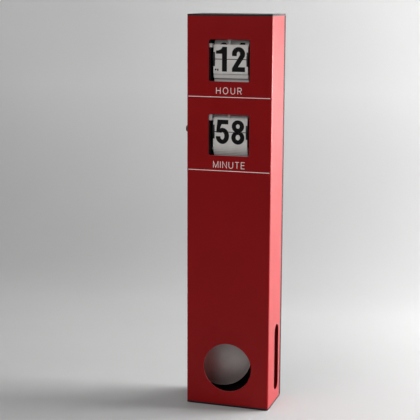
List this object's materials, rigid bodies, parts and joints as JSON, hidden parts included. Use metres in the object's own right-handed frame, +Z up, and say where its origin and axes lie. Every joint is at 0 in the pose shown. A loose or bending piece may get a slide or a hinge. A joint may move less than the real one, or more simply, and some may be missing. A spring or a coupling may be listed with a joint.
{
  "type": "flip number clock",
  "caption": "Tall flip number clock in a folded red sheet case with two number windows and a swinging pendulum behind a round opening.",
  "frame": {"origin": "centre of the footprint on the standing surface", "axes": "+Z up, -Y is the front with the number windows, +X is right seen from the front"},
  "size_m": [0.1087, 0.059, 0.459],
  "materials": {
    "red_lacquer": "satin gloss red lacquer on folded steel",
    "black_plastic": "fine grained black moulding",
    "black_panel": "flat black sheet",
    "white_nylon": "natural white nylon moulding",
    "card_light": "thin light grey card stock",
    "steel": "bright steel",
    "bob_metal": "satin spun metal",
    "brass": "turned and stamped brass",
    "felt": "black felt",
    "copper_coil": "enamelled copper winding",
    "board_green": "circuit board",
    "cell_jacket": "printed cell jacket",
    "magnet": "sintered magnet",
    "wire_insulation": "pvc insulation"
  },
  "bodies": {
    "case": {"case_wrap": "red_lacquer", "top_cap": "black_plastic", "bottom_cap": "black_plastic", "back_panel": "black_panel", "base_felt": "felt", "case_screws": "steel", "side_plate_left": "black_panel", "side_plate_right": "black_panel", "tie_rods": "steel", "rear_bridges": "black_plastic", "frame_screws": "steel", "panel_screws": "steel", "hour_finger": "white_nylon", "minute_finger": "white_nylon", "flap_guides": "white_nylon", "bushes": "brass", "train_plate": "brass", "train_pillars": "brass", "train_screws": "steel", "idler_pins": "steel", "minute_pack_upper": "card_light", "minute_pack_lower": "card_light", "hour_pack_upper": "card_light", "hour_pack_lower": "card_light", "motor_housing": "black_plastic", "motor_cover": "black_plastic", "motor_coil": "copper_coil", "motor_screws": "steel", "pendulum_pin": "steel", "drive_housing": "black_plastic", "drive_coil": "copper_coil", "drive_board": "board_green", "battery_cells": "cell_jacket", "battery_contacts": "steel", "motor_wires": "wire_insulation"},
    "minute_rotor": {"minute_arbor": "steel", "minute_disc_left": "black_plastic", "minute_disc_right": "black_plastic", "minute_hub": "black_plastic", "minute_pinion": "white_nylon", "drive_wheel": "white_nylon", "set_knob": "black_plastic"},
    "hour_rotor": {"hour_arbor": "steel", "hour_disc_left": "black_plastic", "hour_disc_right": "black_plastic", "hour_hub": "black_plastic", "hour_wheel": "white_nylon"},
    "idler_gear_1": {"idler_1": "white_nylon"},
    "idler_gear_2": {"idler_2": "white_nylon"},
    "idler_gear_3": {"idler_3": "white_nylon"},
    "motor_rotor": {"motor_pinion": "white_nylon"},
    "minute_card": {"minute_flap": "card_light"},
    "hour_card": {"hour_flap": "card_light"},
    "pendulum": {"pendulum_hanger": "white_nylon", "pendulum_magnet": "magnet", "pendulum_rod": "steel", "bob_front": "bob_metal", "bob_rear": "bob_metal", "bob_clip": "brass"},
    "battery_door": {"battery_cover": "black_plastic"}
  },
  "joints": [
    {"name": "minute_turn", "type": "hinge", "parent": "case", "child": "minute_rotor", "pos_m": [0, -0.004, 0.3264], "axis": [1, 0, 0], "continuous": true},
    {"name": "hour_turn", "type": "hinge", "parent": "case", "child": "hour_rotor", "pos_m": [0, -0.004, 0.4088], "axis": [1, 0, 0], "continuous": true},
    {"name": "idler_1_turn", "type": "hinge", "parent": "case", "child": "idler_gear_1", "pos_m": [0.033, -0.00067, 0.34531], "axis": [1, 0, 0], "continuous": true},
    {"name": "idler_2_turn", "type": "hinge", "parent": "case", "child": "idler_gear_2", "pos_m": [0.036, -0.004, 0.36422], "axis": [1, 0, 0], "continuous": true},
    {"name": "idler_3_turn", "type": "hinge", "parent": "case", "child": "idler_gear_3", "pos_m": [0.04, -0.00182, 0.38329], "axis": [1, 0, 0], "continuous": true},
    {"name": "motor_turn", "type": "hinge", "parent": "case", "child": "motor_rotor", "pos_m": [-0.029, -0.004, 0.3008], "axis": [1, 0, 0], "continuous": true},
    {"name": "minute_flap_fall", "type": "hinge", "parent": "case", "child": "minute_card", "pos_m": [0, -0.02397, 0.32745], "axis": [1, 0, 0], "range_deg": [0, 166]},
    {"name": "hour_flap_fall", "type": "hinge", "parent": "case", "child": "hour_card", "pos_m": [0, -0.02383, 0.41141], "axis": [1, 0, 0], "range_deg": [0, 166]},
    {"name": "pendulum_swing", "type": "hinge", "parent": "case", "child": "pendulum", "pos_m": [0, 0.0072, 0.268], "axis": [0, -1, 0], "range_deg": [-4, 14]},
    {"name": "battery_cover_pull", "type": "slide", "parent": "case", "child": "battery_door", "axis": [0, 1, 0], "range_m": [0, 0.03]}
  ],
  "couplings": [
    {"joint": "hour_turn", "follows": "minute_turn", "ratio": 0.041667},
    {"joint": "idler_1_turn", "follows": "minute_turn", "ratio": -0.5},
    {"joint": "idler_2_turn", "follows": "minute_turn", "ratio": 0.25},
    {"joint": "idler_3_turn", "follows": "minute_turn", "ratio": -0.125},
    {"joint": "motor_turn", "follows": "minute_turn", "ratio": -3}
  ]
}
